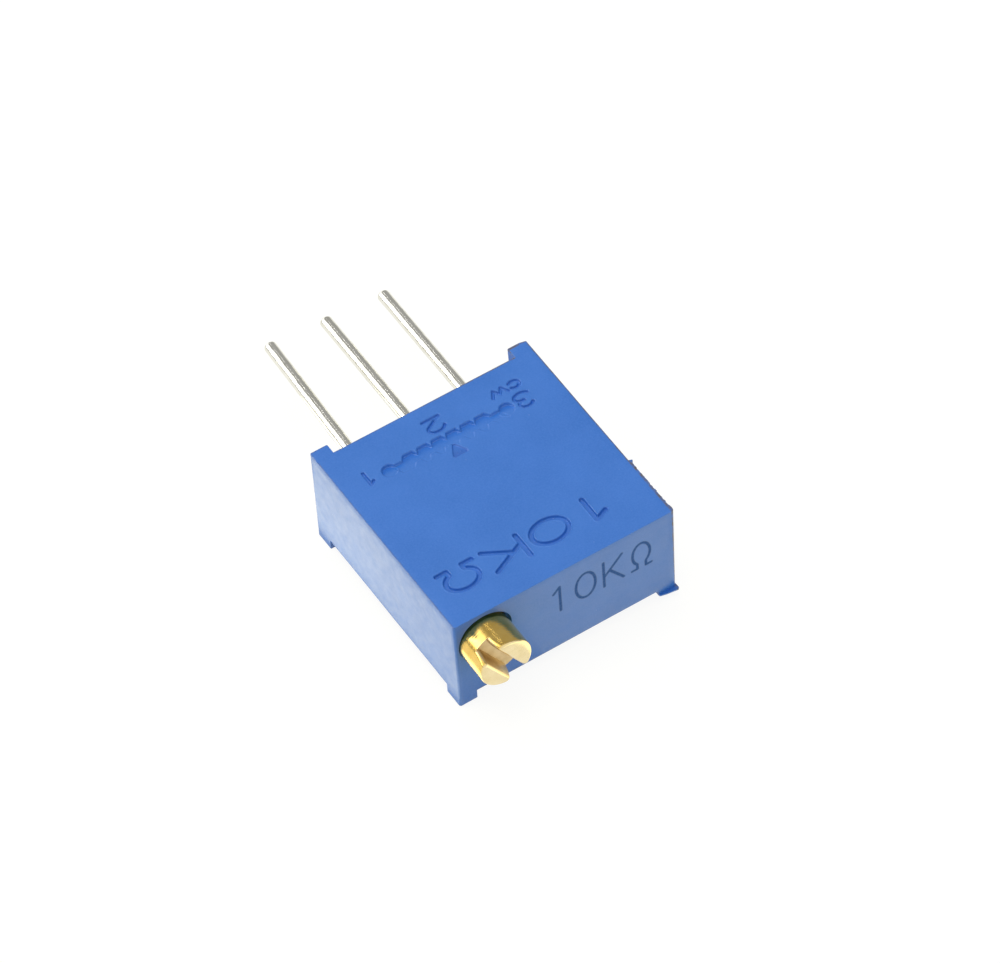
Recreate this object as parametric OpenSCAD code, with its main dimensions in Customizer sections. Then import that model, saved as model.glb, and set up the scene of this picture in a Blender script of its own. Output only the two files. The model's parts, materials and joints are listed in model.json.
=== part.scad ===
// Multi-turn trimmer potentiometer, lying on its back with the marked face up.
// X runs across the case, +Y points the way the leads do, Z is up. All sizes in mm.
// A worm on the adjusting screw turns a toothed wheel, whose wiper sweeps a C-shaped track.

/* [Case] */
// Width of the case
body_w = 9.53; // [7.9:0.01:12]
// Length of the case, from the screw face to the recessed lead face
body_l = 9.5; // [7.9:0.01:12]
// Thickness of the case, feet included
body_h = 4.8; // [4:0.01:6]
// Radius of the upright edges
edge_r = 0.10; // [0.05:0.01:0.35]
// Side wall beside the ceramic plate
side_wall = 0.7; // [0.5:0.01:1]
// Wall between the ceramic plate and the lead face
lead_wall = 0.75; // [0.5:0.01:1.2]
// Wall between the screw face and the potting
front_rim = 0.55; // [0.4:0.01:0.6]
// Roof over the worm wheel
roof_t = 0.6; // [0.4:0.01:0.7]
// Height of the two standoff ridges on the lead face
standoff_h = 0.45; // [0.2:0.01:0.8]
// Width of a standoff ridge
standoff_w = 0.75; // [0.4:0.01:1]
// Height of a corner foot
foot_h = 0.52; // [0.2:0.01:0.6]
// Width of a corner foot, across the case
foot_w = 0.76; // [0.5:0.01:1]
// Length of a corner foot, along the case
foot_l = 0.88; // [0.5:0.01:1.2]

/* [Adjusting screw] */
// From the case's left side to the screw's axis
screw_inset = 1.27; // [1.25:0.01:1.6]
// From the marked face down to the screw's axis
screw_drop = 1.42; // [1.35:0.01:1.7]
// Diameter of the head
head_d = 2.19; // [1.8:0.01:2.19]
// How far the head stands out of the case
head_out = 1.5; // [0.5:0.01:3]
// How far the head reaches into the case
head_in = 0.12; // [0.1:0.01:0.15]
// Bevel on the head's rim
head_bevel = 0.06; // [0.02:0.01:0.15]
// Width of the screwdriver slot
slot_w = 0.58; // [0.3:0.01:0.8]
// Depth of the screwdriver slot
slot_d = 0.68; // [0.3:0.01:1]
// Turn of the slot at rest, clockwise from +X as seen from the head
slot_turn = 58; // [0:1:180]
// Diameter of the neck behind the head
neck_d = 1.24; // [1:0.01:1.4]
// Outer diameter of the worm thread
worm_d = 2.06; // [1.7:0.01:2.06]
// Diameter of the tail journal
tail_d = 0.9; // [0.6:0.01:1.2]
// Length of the tail journal
tail_l = 0.5; // [0.3:0.01:0.8]

/* [Worm wheel] */
// Number of teeth, with a single-start worm
teeth = 30; // [24:1:36]
// Thickness of the toothed rim
rim_t = 1.22; // [0.8:0.01:1.3]
// Pressure angle of the teeth
pressure_angle = 20; // [15:0.5:25]
// Play between thread and teeth along the pitch line
backlash = 0.06; // [0.02:0.01:0.1]
// Diameter of the post that the wheel turns on
post_d = 1.2; // [0.8:0.01:1.5]
// Turn from one end stop to the other
travel = 300; // [240:1:310]

/* [Element] */
// Thickness of the ceramic plate
plate_t = 0.635; // [0.4:0.005:0.65]
// Thickness of the printed films
film_t = 0.02; // [0.01:0.005:0.04]
// Width of the resistive track
track_w = 0.6; // [0.3:0.01:0.7]
// Room for the wiper between plate and wheel
wiper_room = 0.505; // [0.4:0.005:0.6]
// Thickness of the wiper strip
wiper_t = 0.08; // [0.05:0.01:0.12]

/* [Leads] */
// Diameter of a lead
lead_d = 0.51; // [0.4:0.01:0.65]
// Width of a lead's inner end, coined flat to sit on its pad
coin_w = 0.57; // [0.52:0.01:0.65]
// Thickness of the coined end
coin_t = 0.36; // [0.25:0.01:0.45]
// Distance between neighbouring leads
lead_pitch = 2.54; // [2:0.01:2.7]
// Length of lead 1 past the standoffs
lead_1_l = 7.1; // [3:0.01:10]
// Length of lead 2 past the standoffs
lead_2_l = 6.95; // [3:0.01:10]
// Length of lead 3 past the standoffs
lead_3_l = 6.8; // [3:0.01:10]
// Lean of lead 1 towards the middle, in degrees
lead_1_lean = 1.8; // [0:0.1:1.8]
// Distance by which lead 1 stands outside its pitch
lead_1_shift = 0.13; // [0:0.01:0.2]
// Distance by which lead 3 stands inside its pitch
lead_3_shift = 0.05; // [0:0.01:0.2]

/* [Fits] */
// Radial clearance of a journal in its bore
run_clear = 0.03; // [0.02:0.01:0.08]
// Radial clearance round the screw's head and thread
bore_clear = 0.08; // [0.04:0.01:0.1]
// Gap round the wheel's teeth
wheel_clear = 0.17; // [0.1:0.01:0.3]
// Gap between a piece and the pocket it is dropped into
drop_clear = 0.03; // [0.01:0.01:0.06]
// Gap round a lead where it passes the wall
notch_clear = 0.05; // [0.04:0.01:0.1]

/* [Hidden] */
$fn = 64;

// how far a cutter reaches past the face that it cuts
over = 0.2;
// how far a boss is rooted in the wall that carries it
root = 0.1;
LEAD_LENGTHS = [lead_1_l, lead_2_l, lead_3_l];
LEAD_LEANS = [lead_1_lean, 0, 0];
LEAD_SHIFTS = [-lead_1_shift, 0, -lead_3_shift];
lead_r = lead_d / 2;
notch_half = norm([coin_w, coin_t]) / 2 + notch_clear;
solder_fillet = 0.16;
solder_r = lead_r + solder_fillet;
pad_half = 0.4;
// skin that keeps the solder and the potting from cutting into a lead
lead_skin = 0.004;

// heights, worked down from the marked face
roof_z = body_h - roof_t;
screw_z = body_h - screw_drop;
rim_z = screw_z - rim_t / 2;
plate_top = rim_z - wiper_room;
plate_bottom = plate_top - plate_t;
film_top = plate_top + film_t;
lead_z = film_top + coin_t / 2;

// the screw's stations along Y, from the screw face inwards
screw_x = -body_w / 2 + screw_inset;
head_r = head_d / 2;
neck_r = neck_d / 2;
worm_r = worm_d / 2;
gland_r = worm_r + bore_clear;
seal_cord = gland_r - neck_r - run_clear;
clip_t = 0.2;
clip_side = 0.05;
clip_w = 2 * (worm_r - clip_side);
clip_rise = 0.82;
clip_top = screw_z + clip_rise;
clip_y = head_in + seal_cord + clip_side;
neck_end = clip_y + clip_t + run_clear;
web = 0.15;

// stations at the lead side
plate_end = body_l - lead_wall;
lead_in_l = 0.75;
lead_in_y = plate_end - lead_in_l;
lead_joint_y = plate_end - lead_in_l / 2;
// where the coined end turns into round wire, just inside the lead face
coin_depth = 0.1;
coin_end = body_l - coin_depth - lead_joint_y;
coin_start = drop_clear - lead_in_l / 2;
seat_y = body_l + standoff_h;

// the wheel takes the room between the clip and the leads, or between the worm and the side wall
cavity_y0 = neck_end + web;
cavity_y1 = lead_in_y - web;
addendum_share = 0.8;
tip_growth = 1 + 2 * addendum_share / teeth;
wheel_r_by_length = ((cavity_y1 - cavity_y0) / 2 - wheel_clear) / tip_growth;
wheel_r_by_width = (body_w - screw_inset - side_wall - worm_r - wheel_clear) / 2;
wheel_r = min(wheel_r_by_length, wheel_r_by_width);
gear_module = 2 * wheel_r / teeth;
addendum = addendum_share * gear_module;
dedendum = gear_module;
wheel_tip_r = wheel_r + addendum;
wheel_root_r = wheel_r - dedendum;
cavity_r = wheel_tip_r + wheel_clear;
worm_pitch_r = worm_r - addendum;
worm_root_r = worm_pitch_r - dedendum;
wheel_x = screw_x + worm_pitch_r + wheel_r;
wheel_y = (cavity_y0 + cavity_y1) / 2;

// the thread
thread_pitch = PI * gear_module;
collar_l = 0.2;
worm_y = neck_end + collar_l;
worm_end = cavity_y1 - tail_l - web;
worm_l = worm_end - run_clear - worm_y;
thread_turns = floor(worm_l / thread_pitch - 1);
thread_steps = 24;

// the wheel's inside, the wiper and the track
rim_wall = 0.45;
rim_inner_r = wheel_root_r - rim_wall;
web_rise = 0.1;
web_z = rim_z + web_rise;
web_t = 0.5;
web_top = web_z + web_t;
hub_r = 1.0;
seat_r = 1.7;
post_r = post_d / 2;
peg_r = 0.14;
peg_ring_r = 1.35;
peg_head = 0.07;
track_inset = 0.5;
track_r = wheel_root_r - track_inset;
// the track's open end faces the leads, and the wiper stops short of its ends
track_over = 4;
track_start = 90 + (360 - travel) / 2 - track_over;
track_end = 450 - (360 - travel) / 2 + track_over;
conductor_turn = 12;
neck_turn = 1.5;
neck_root = 0.05;
collector_r = 1.05;
collector_w = 0.6;
stop_gap = 0.1;
stop_in_r = hub_r + 0.35;
stop_out_r = rim_inner_r - stop_gap;
lug_half = 11;
lug_h = 0.45;
// turn left over between the lug and the stop at either end
stop_play = 0.5;
stop_half = (360 - travel) / 2 - lug_half - stop_play;
film_gap = 0.015;
potting_dip = 0.1;

// the whole part is centred on its own box along Y
front_y = -head_out;
back_y = seat_y + max(LEAD_LENGTHS);
shift_y = -(front_y + back_y) / 2;

function lead_x(i) = (i - 2) * lead_pitch + LEAD_SHIFTS[i - 1];
function polar(r, a) = [r * cos(a), r * sin(a)];
function involute(a) = tan(a) * 180 / PI - a;
function fan(hub, rim) = [for (k = [0:len(rim) - 2]) [hub, rim[k], rim[k + 1]]];

// puts a piece drawn from the screw face into the part's own frame
module placed() {
    translate([0, shift_y, 0]) children();
}

// turns a piece drawn along +Z so that it points along +Y at the given place
module along_y(x, y, z) {
    translate([x, y, z]) rotate([-90, 0, 0]) children();
}

// a box given by its lowest and highest corners
module span(low, high) {
    translate(low) cube(high - low);
}

// a flat rectangle with round corners
module round_rect(low, high, r) {
    translate([low[0] + r, low[1]]) square([high[0] - low[0] - 2 * r, high[1] - low[1]]);
    translate([low[0], low[1] + r]) square([high[0] - low[0], high[1] - low[1] - 2 * r]);
    for (x = [low[0] + r, high[0] - r], y = [low[1] + r, high[1] - r])
        translate([x, y]) circle(r);
}

// part of a ring, from one angle to another
module ring_sector(r0, r1, a0, a1, h) {
    rotate([0, 0, a0])
        rotate_extrude(angle = a1 - a0)
            translate([r0, 0]) square([r1 - r0, h]);
}

// ---- case ----

module case_outline() {
    round_rect([-body_w / 2, 0], [body_w / 2, body_l], edge_r);
    for (side = [-1, 1])
        standoff_outline(side);
}

module standoff_outline(side) {
    outer = side * body_w / 2;
    inner = side * (body_w / 2 - standoff_w);
    low = [min(outer, inner), body_l - 3 * edge_r];
    high = [max(outer, inner), seat_y];
    round_rect(low, high, edge_r / 2);
}

module foot_outlines() {
    intersection() {
        case_outline();
        for (x = [-body_w / 2, body_w / 2 - foot_w], y = [0, seat_y - foot_l])
            translate([x, y]) square([foot_w, foot_l]);
    }
}

module screw_bore() {
    along_y(screw_x, -over, screw_z)
        cylinder(r = head_r + bore_clear, h = head_in + over);
    along_y(screw_x, 0, screw_z)
        cylinder(r = gland_r, h = worm_end);
    along_y(screw_x, 0, screw_z)
        cylinder(r = tail_d / 2 + run_clear, h = cavity_y1);
}

module clip_slot() {
    span([screw_x - clip_w / 2 - drop_clear, clip_y - drop_clear / 2, plate_bottom - over],
         [screw_x + clip_w / 2 + drop_clear, clip_y + clip_t + drop_clear / 2, clip_top + drop_clear]);
}

module lead_notch(i) {
    along_y(lead_x(i), lead_in_y, lead_z)
        cylinder(r = notch_half, h = seat_y - lead_in_y);
    span([lead_x(i) - notch_half, plate_end - over, 0], [lead_x(i) + notch_half, seat_y, lead_z]);
}

module solder_pocket(i) {
    half = solder_r + drop_clear;
    along_y(lead_x(i), lead_in_y - drop_clear, lead_z)
        cylinder(r = half, h = lead_in_l + drop_clear);
    span([lead_x(i) - half, lead_in_y - drop_clear, plate_bottom], [lead_x(i) + half, plate_end, lead_z]);
}

module case_hollows() {
    inner = body_w / 2 - side_wall;
    // potting recess, open at the back
    span([-inner, front_rim, -over], [inner, plate_end, plate_bottom]);
    // pocket for the ceramic plate
    span([-inner, cavity_y0, plate_bottom - over], [inner, plate_end, plate_top]);
    // round room for the wheel
    translate([wheel_x, wheel_y, plate_top - over])
        cylinder(r = cavity_r, h = roof_z - plate_top + over);
    // the screw's bore is open to the plate below it
    span([-inner, cavity_y0, plate_top - over], [screw_x + gland_r, worm_end, screw_z]);
    screw_bore();
    clip_slot();
    for (i = [1:3]) {
        lead_notch(i);
        solder_pocket(i);
    }
    // shallow relief over the printed films
    span([lead_x(1) - pad_half - root, wheel_y, plate_top - over],
         [lead_x(3) + pad_half + root, plate_end, film_top + drop_clear / 2]);
}

module wheel_post() {
    translate([wheel_x, wheel_y, web_z])
        cylinder(r = post_r, h = roof_z - web_z + root);
    stop_h = roof_z - web_top - stop_gap;
    translate([wheel_x, wheel_y, roof_z - stop_h])
        ring_sector(stop_in_r, stop_out_r, 90 - stop_half, 90 + stop_half, stop_h + root);
}

module housing() {
    color("royalblue") placed() {
        difference() {
            union() {
                translate([0, 0, foot_h]) linear_extrude(body_h - foot_h) case_outline();
                linear_extrude(foot_h + root) foot_outlines();
            }
            case_hollows();
        }
        wheel_post();
    }
}

// ---- adjusting screw ----

// worm with planar ends: a helical strip of root, flank, crest and flank, blunt at both ends
module worm(length) {
    n = thread_steps;
    m = n * thread_turns;
    flank = (addendum + dedendum) * tan(pressure_angle);
    crest = thread_pitch / 2 - backlash / 2 - 2 * addendum * tan(pressure_angle);
    start = (length - thread_turns * thread_pitch - 2 * flank - crest) / 2;
    offsets = [0, flank, flank + crest, 2 * flank + crest];
    radii = [worm_root_r, worm_r, worm_r, worm_root_r];
    // the thread's middle faces the wheel's centre line on the +X side
    aim = -360 * (wheel_y - worm_y - start - flank - crest / 2) / thread_pitch;
    helix = [for (i = [0:m], k = [0:3])
        concat(polar(radii[k], 360 * i / n), start + thread_pitch * i / n + offsets[k])];
    rings = [for (z = [0, length], i = [0:n - 1]) concat(polar(worm_root_r, 360 * i / n), z)];
    low = 4 * (m + 1);
    high = low + n;
    function at(i, k) = 4 * i + k;
    flanks = [for (i = [0:m - 1], k = [0:2], half = [0, 1])
        half == 0 ? [at(i, k), at(i, k + 1), at(i + 1, k + 1)]
                  : [at(i, k), at(i + 1, k + 1), at(i + 1, k)]];
    lands = [for (i = [0:m - n - 1]) [at(i, 3), at(i + n, 0), at(i + n + 1, 0), at(i + 1, 3)]];
    lead_in = [for (i = [0:n - 2]) [low + i, at(i, 0), at(i + 1, 0), low + i + 1]];
    last = m - n;
    lead_out = [for (i = [1:n - 1]) [at(last + i, 3), high + i, high + (i + 1) % n, at(last + i + 1, 3)]];
    // along the seam the strip meets the blunt end's root, so it is a fan from the next station
    seam_in = fan(at(n - 1, 0), [at(n, 0), at(0, 3), at(0, 0), low, low + n - 1]);
    seam_out = fan(at(last + 1, 3), [at(last, 3), at(m, 0), at(m, 3), high, high + 1]);
    blunt_ends = [[at(0, 0), at(0, 3), at(0, 2), at(0, 1)], [at(m, 0), at(m, 1), at(m, 2), at(m, 3)]];
    caps = [[for (i = [0:n - 1]) low + i], [for (i = [n - 1:-1:0]) high + i]];
    rotate([0, 0, aim])
        polyhedron(concat(helix, rings),
                   concat(flanks, lands, lead_in, seam_in, lead_out, seam_out, blunt_ends, caps));
}

module slotted_head() {
    total = head_out + head_in;
    difference() {
        rotate_extrude()
            polygon([[0, 0], [head_r - head_bevel, 0], [head_r, head_bevel], [head_r, total], [0, total]]);
        rotate([0, 0, slot_turn])
            translate([-head_r - over, -slot_w / 2, -over])
                cube([2 * head_r + 2 * over, slot_w, slot_d + over]);
    }
}

module adjusting_screw() {
    color("gold") placed() {
        along_y(screw_x, -head_out, screw_z) slotted_head();
        along_y(screw_x, head_in, screw_z) cylinder(r = neck_r, h = neck_end - head_in);
        along_y(screw_x, neck_end, screw_z) cylinder(r = worm_r, h = collar_l);
        along_y(screw_x, worm_y, screw_z) worm(worm_l);
        along_y(screw_x, worm_y + worm_l, screw_z) cylinder(r = tail_d / 2, h = tail_l);
    }
}

module shaft_seal() {
    color("dimgray") placed()
        along_y(screw_x, head_in + seal_cord / 2, screw_z)
            rotate_extrude() translate([gland_r - seal_cord / 2, 0]) circle(seal_cord / 2);
}

// ---- clip that keeps the screw in ----

module retaining_clip() {
    gap = neck_r + run_clear;
    color("silver") placed()
        difference() {
            span([screw_x - clip_w / 2, clip_y, plate_bottom], [screw_x + clip_w / 2, clip_y + clip_t, clip_top]);
            along_y(screw_x, clip_y - over, screw_z) cylinder(r = gap, h = clip_t + 2 * over);
            span([screw_x - gap, clip_y - over, screw_z], [screw_x + gap, clip_y + clip_t + over, clip_top + over]);
        }
}

// ---- worm wheel ----

// half the angle that a tooth takes up at radius r
function tooth_half(r) =
    (thread_pitch / 2 - backlash / 2) / wheel_r * 90 / PI
    + involute(pressure_angle) - involute(acos(min(1, wheel_r * cos(pressure_angle) / r)));

module gear_outline() {
    base_r = max(wheel_root_r, wheel_r * cos(pressure_angle));
    steps = 3;
    radii = concat([wheel_root_r], [for (k = [0:steps]) base_r + (wheel_tip_r - base_r) * k / steps]);
    count = len(radii);
    // a gap faces the worm, at 180 degrees
    polygon([for (tooth = [0:teeth - 1], k = [0:2 * count - 1])
        let (j = k < count ? k : 2 * count - 1 - k,
             side = k < count ? -1 : 1,
             middle = 180 + 360 * (tooth + 0.5) / teeth)
        polar(radii[j], middle + side * tooth_half(radii[j]))]);
}

module toothed_rim() {
    // the teeth slant as the thread does where they meet
    slant = rim_t * thread_pitch / (2 * PI * worm_pitch_r) / wheel_r * 180 / PI;
    rotate([0, 0, -slant / 2])
        linear_extrude(rim_t, twist = -slant, slices = 2)
            difference() {
                gear_outline();
                circle(rim_inner_r, $fn = 60);
            }
}

module worm_wheel() {
    color("ivory") placed() translate([wheel_x, wheel_y, 0]) {
        difference() {
            union() {
                translate([0, 0, rim_z]) toothed_rim();
                translate([0, 0, web_z]) cylinder(r = rim_inner_r + root, h = web_t);
                translate([0, 0, rim_z]) cylinder(r = seat_r, h = web_z - rim_z + root);
                translate([0, 0, rim_z]) cylinder(r = hub_r, h = roof_z - run_clear - rim_z);
                translate([0, 0, web_top - root])
                    ring_sector(stop_in_r, stop_out_r, 270 - lug_half, 270 + lug_half, lug_h + root);
            }
            translate([0, 0, rim_z - over]) cylinder(r = post_r + run_clear, h = roof_z - rim_z + over);
        }
        for (a = [0, 180])
            rotate([0, 0, a]) translate([peg_ring_r, 0, rim_z - wiper_t]) {
                cylinder(r = peg_r, h = wiper_t + root);
                translate([0, 0, -peg_head]) cylinder(r = peg_r + peg_head, h = peg_head);
            }
    }
}

// ---- wiper ----

// one spring finger along +X: it leaves the ring at radius bend and slopes down to a round nose
module finger(bend, reach, middle, width) {
    top = rim_z;
    low = rim_z - wiper_t;
    nose_r = 0.1;
    nose_z = film_top + film_gap + nose_r;
    out = sign(reach - bend);
    tail = bend - out * 0.2;
    knee = bend - out * 0.05;
    translate([0, middle + width / 2, 0]) rotate([90, 0, 0]) linear_extrude(width) {
        polygon([[tail, low], [tail, top], [bend, top],
                 [reach, nose_z + wiper_t / 2], [reach, nose_z - wiper_t / 2], [knee, low]]);
        translate([reach, nose_z]) circle(nose_r);
    }
}

module wiper() {
    finger_w = 0.13;
    finger_step = 0.18;
    color("peru") placed() translate([wheel_x, wheel_y, 0]) {
        difference() {
            translate([0, 0, rim_z - wiper_t])
                linear_extrude(wiper_t)
                    difference() {
                        circle(seat_r);
                        circle(collector_r - collector_w / 2);
                    }
            for (a = [0, 180])
                rotate([0, 0, a]) translate([peg_ring_r, 0, rim_z - wiper_t - over])
                    cylinder(r = peg_r + 0.01, h = wiper_t + 2 * over);
        }
        rotate([0, 0, 270])
            for (k = [-1:1]) finger(seat_r, track_r, k * finger_step, finger_w);
        rotate([0, 0, 90])
            for (k = [-0.5, 0.5]) finger(seat_r - 0.05, collector_r, k * finger_step, finger_w);
    }
}

// ---- ceramic plate and its films ----

module ceramic_substrate() {
    inner = body_w / 2 - side_wall - drop_clear;
    color("white") placed()
        span([-inner, cavity_y0 + drop_clear, plate_bottom], [inner, plate_end - drop_clear, plate_top]);
}

// part of a printed ring round the wheel's centre
module film_ring(r, w, a0, a1) {
    translate([wheel_x, wheel_y, plate_top]) ring_sector(r - w / 2, r + w / 2, a0, a1, film_t);
}

// a printed pad under a lead, with a neck that widens from two given points
module film_pad(i, p0, p1) {
    y0 = lead_in_y + drop_clear;
    y1 = plate_end - 2 * drop_clear;
    left = lead_x(i) - pad_half;
    right = lead_x(i) + pad_half;
    translate([0, 0, plate_top])
        linear_extrude(film_t)
            polygon([p0, p1, [right, y0], [right, y1], [left, y1], [left, y0]]);
}

module resistive_track() {
    color("#303030") placed() film_ring(track_r, track_w, track_start, track_end);
}

// side is -1 at lead 1 and 1 at lead 3
module end_conductor(i, side) {
    centre = [wheel_x, wheel_y];
    a_end = side < 0 ? track_start : track_end - 360;
    a_free = a_end + side * conductor_turn;
    // the neck is rooted just inside the ring's outer edge and its two ends
    root_r = track_r + track_w / 2 - neck_root;
    near = centre + polar(root_r, a_end + side * neck_turn);
    far = centre + polar(root_r, a_free - side * neck_turn);
    color("silver") placed() {
        film_ring(track_r, track_w, min(a_end, a_free), max(a_end, a_free));
        if (side < 0) film_pad(i, near, far);
        else film_pad(i, far, near);
    }
}

module end_conductor_1() {
    end_conductor(1, -1);
}

module end_conductor_3() {
    end_conductor(3, 1);
}

module collector_conductor() {
    neck_half = 0.2;
    y = wheel_y + collector_r;
    color("silver") placed() {
        film_ring(collector_r, collector_w, 0, 360);
        film_pad(2, [wheel_x - neck_half, y], [wheel_x + neck_half, y]);
    }
}

// ---- leads, solder and potting ----

// puts a piece drawn along +Z on the axis of lead i, from its solder joint outwards
module on_lead(i) {
    translate([lead_x(i), lead_joint_y, lead_z])
        rotate([0, 0, -LEAD_LEANS[i - 1]])
            rotate([-90, 0, 0])
                children();
}

// the flat inner end of a lead, grown by a skin where something is cut to fit it
module coined_end(skin) {
    w = coin_w / 2 + skin;
    t = coin_t / 2 + skin;
    span([-w, -t, coin_start - skin], [w, t, coin_end + skin]);
}

module lead(i) {
    bevel = 0.09;
    outer = seat_y + LEAD_LENGTHS[i - 1] - lead_joint_y;
    color("gainsboro") placed()
        on_lead(i) {
            coined_end(0);
            rotate_extrude()
                polygon([[0, coin_end], [lead_r, coin_end], [lead_r, outer - bevel],
                         [lead_r - bevel, outer], [0, outer]]);
        }
}

module lead_1() {
    lead(1);
}

module lead_2() {
    lead(2);
}

module lead_3() {
    lead(3);
}

// a collar of solder round the lead's inner end, flat where it wets the pad
module solder_joint(i) {
    half = lead_in_l / 2 - 2 * drop_clear;
    shoulder = half * 0.4;
    color("lightgray") placed()
        difference() {
            on_lead(i)
                rotate_extrude()
                    polygon([[0, -half], [lead_r, -half], [solder_r, -shoulder],
                             [solder_r, shoulder], [lead_r, half], [0, half]]);
            on_lead(i) coined_end(lead_skin);
            span([lead_x(i) - 1, lead_in_y - 1, 0], [lead_x(i) + 1, body_l, film_top]);
        }
}

module solder_joint_1() {
    solder_joint(1);
}

module solder_joint_2() {
    solder_joint(2);
}

module solder_joint_3() {
    solder_joint(3);
}

module potting() {
    inner = body_w / 2 - side_wall;
    low = foot_h + potting_dip;
    color("steelblue") placed()
        difference() {
            union() {
                span([-inner, front_rim, low], [inner, plate_end, plate_bottom]);
                for (i = [1:3])
                    span([lead_x(i) - notch_half, plate_end - root, low],
                         [lead_x(i) + notch_half, body_l - potting_dip / 2, lead_z]);
            }
            for (i = [1:3]) {
                on_lead(i) cylinder(r = lead_r + lead_skin, h = body_l);
                on_lead(i) coined_end(lead_skin);
                // keeps clear of the solder and the plate
                span([lead_x(i) - notch_half - root, lead_in_y, plate_bottom],
                     [lead_x(i) + notch_half + root, plate_end, lead_z + root]);
            }
        }
}

housing();
adjusting_screw();
shaft_seal();
retaining_clip();
worm_wheel();
wiper();
ceramic_substrate();
resistive_track();
end_conductor_1();
end_conductor_3();
collector_conductor();
lead_1();
lead_2();
lead_3();
solder_joint_1();
solder_joint_2();
solder_joint_3();
potting();
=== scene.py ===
# %% [markdown]
# # A multi-turn trimmer, finished for the camera
# The part is a small blue potentiometer: a moulded case, a gilt adjusting screw and three tinned leads,
# with a worm, a wheel, a wiper and a printed ceramic plate sealed inside.
# The frame already holds every piece at its true place, so this script only adds looks.
# A piece that shows from outside is rebuilt with the small things that moulding, turning and tinning
# leave behind. A sealed piece keeps its exact mesh and gets a finish.

# %% Load the frame
import json
import math

import bmesh
import bpy
import numpy as np
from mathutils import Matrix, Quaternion, Vector, noise
from mathutils.geometry import delaunay_2d_cdt


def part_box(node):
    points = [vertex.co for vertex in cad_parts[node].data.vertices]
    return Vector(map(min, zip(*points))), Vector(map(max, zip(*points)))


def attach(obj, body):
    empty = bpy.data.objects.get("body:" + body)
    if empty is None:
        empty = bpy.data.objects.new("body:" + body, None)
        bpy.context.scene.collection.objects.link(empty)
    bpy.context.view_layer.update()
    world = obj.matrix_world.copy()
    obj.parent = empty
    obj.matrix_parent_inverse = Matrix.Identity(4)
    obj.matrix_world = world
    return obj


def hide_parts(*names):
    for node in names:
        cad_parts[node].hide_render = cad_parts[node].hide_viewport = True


# without a seed of its own, noise_vector would differ a little at every run
noise.seed_set(7)
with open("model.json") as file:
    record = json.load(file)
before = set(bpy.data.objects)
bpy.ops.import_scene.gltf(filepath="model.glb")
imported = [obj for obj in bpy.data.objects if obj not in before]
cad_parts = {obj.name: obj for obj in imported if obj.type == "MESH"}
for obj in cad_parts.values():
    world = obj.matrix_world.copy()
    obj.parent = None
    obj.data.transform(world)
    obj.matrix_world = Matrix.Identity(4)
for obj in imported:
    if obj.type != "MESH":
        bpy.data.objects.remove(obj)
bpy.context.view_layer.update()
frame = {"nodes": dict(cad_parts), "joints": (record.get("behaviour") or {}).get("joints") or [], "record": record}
nodes = frame["nodes"]

# %% [markdown]
# ## Working in millimetres
# The part is under two centimetres long, and Blender's units are metres, so a bevel of 0.05 mm would
# be 0.00005 of a unit. Mesh tools have limits of about that size. Every mesh is therefore drawn in
# millimetres and shrunk once, when it becomes an object. Noise textures use the same trick: their
# scale is given per millimetre.

# %% Units and the case's planes
MM = 0.001
case_low, case_high = (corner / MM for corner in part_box("housing"))
half_width = case_high.x
front_y = case_low.y
seat_y = case_high.y
top_z = case_high.z
standoff_height = 0.45
lead_face_y = seat_y - standoff_height
foot_height = 0.52
underside_z = foot_height
print("case", [round(v, 3) for v in case_high - case_low], "mm")

# %% [markdown]
# ## From CAD triangles back to flat faces
# A CAD solid arrives as triangles. Bevels and fine detail need whole faces, so the doubled corners are
# welded and the triangles that lie in one plane are merged again. The other way would be to redraw the
# case by hand, but then its hollows and notches could drift away from the pieces that fit in them.

# %% Mesh helpers
def flat_faces_of(node):
    """A mesh of the CAD node in millimetres, with its coplanar triangles merged."""
    bm = bmesh.new()
    bm.from_mesh(nodes[node].data)
    bmesh.ops.scale(bm, vec=Vector((1 / MM,) * 3), verts=bm.verts)
    bmesh.ops.remove_doubles(bm, verts=bm.verts, dist=0.0005)
    bmesh.ops.dissolve_limit(bm, angle_limit=math.radians(0.3), verts=bm.verts, edges=bm.edges)
    return bm


def piece(name, bm, body, slot, material, *stands_for):
    """Makes an object of a millimetre mesh, on a body, in place of its CAD nodes."""
    bmesh.ops.scale(bm, vec=Vector((MM,) * 3), verts=bm.verts)
    mesh = bpy.data.meshes.new(name)
    bm.to_mesh(mesh)
    bm.free()
    mesh.shade_smooth()
    mesh.set_sharp_from_angle(angle=math.radians(38))
    mesh.materials.append(material)
    obj = bpy.data.objects.new(name, mesh)
    bpy.context.scene.collection.objects.link(obj)
    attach(obj, body)
    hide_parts(*stands_for)
    print(name, len(mesh.polygons), "faces")
    return obj


def smooth_step(low, high, x):
    """0 below low, 1 above high, and an S-curve in between."""
    t = np.clip((x - low) / (high - low), 0, 1)
    return t * t * (3 - 2 * t)


# %% [markdown]
# ## Materials from nodes
# No finish here is one flat colour. Each starts as the Principled shader, and noise moves its colour,
# its roughness and the height of its surface a little. The helpers below keep each recipe to a few
# lines. Values that are the same all over stay on the shader's own sockets.

# %% Node helpers
def feed(tree, socket, value):
    """Sets a socket to a value, or links it to the output socket given."""
    if isinstance(value, bpy.types.NodeSocket):
        tree.links.new(value, socket)
    else:
        socket.default_value = value


def math_node(tree, operation, *values):
    made = tree.nodes.new("ShaderNodeMath")
    made.operation = operation
    for socket, value in zip(made.inputs, values):
        feed(tree, socket, value)
    return made.outputs[0]


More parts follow.
